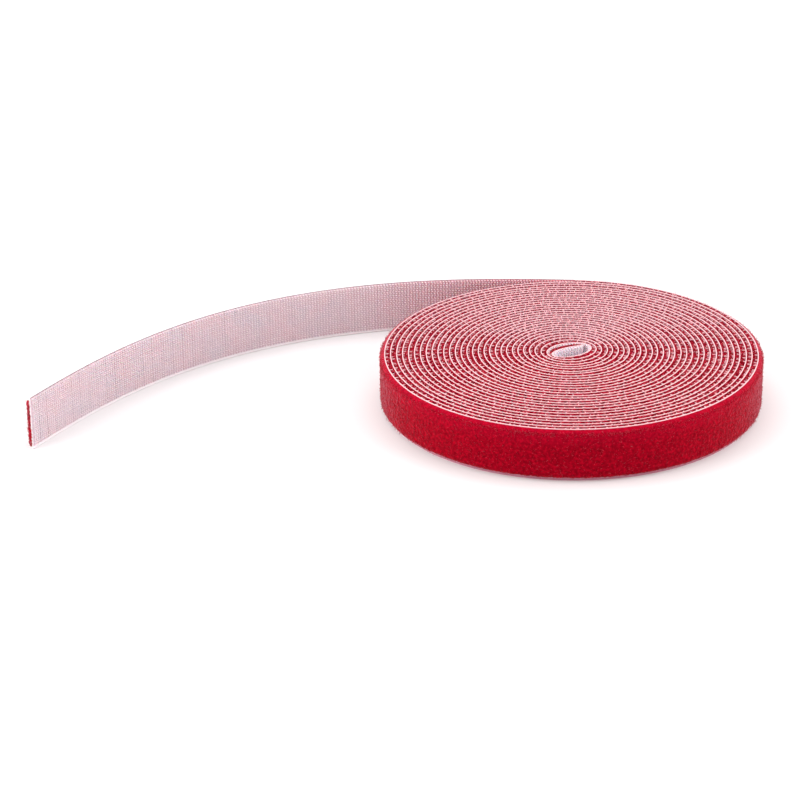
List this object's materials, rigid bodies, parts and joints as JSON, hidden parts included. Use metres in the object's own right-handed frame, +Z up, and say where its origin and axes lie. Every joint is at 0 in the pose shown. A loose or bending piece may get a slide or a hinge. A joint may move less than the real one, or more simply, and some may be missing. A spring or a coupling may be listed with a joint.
{
  "type": "hook and loop tape roll",
  "caption": "Coreless roll of self-gripping tape, hooks on its inner face and napped loops on its outer face, lying on its edge, with its outer end peeled off into a curved tail that swings.",
  "frame": {"origin": "on the table, under the middle of the outline of roll and tail together", "axes": "+X from the tail's side towards the roll, along the greatest length; +Y from the front, where the tail's hook face looks, to the back, where the tail leaves the roll; +Z up, along the roll's axis and across the tape's width"},
  "size_m": [0.2566, 0.1378, 0.019],
  "materials": {
    "hook_film": "pale pink moulded film with fine rows of hooks",
    "loop_pile": "dark red napped loop pile"
  },
  "bodies": {
    "roll": {"roll_hook_tape": "hook_film", "roll_loop_tape": "loop_pile"},
    "tail": {"tail_hook_tape": "hook_film", "tail_loop_tape": "loop_pile"}
  },
  "joints": [
    {"name": "tail_peel", "type": "hinge", "parent": "roll", "child": "tail", "pos_m": [0.06665, 0.06677, 0.0095], "axis": [0, 0, -1], "range_deg": [0, 90]}
  ]
}
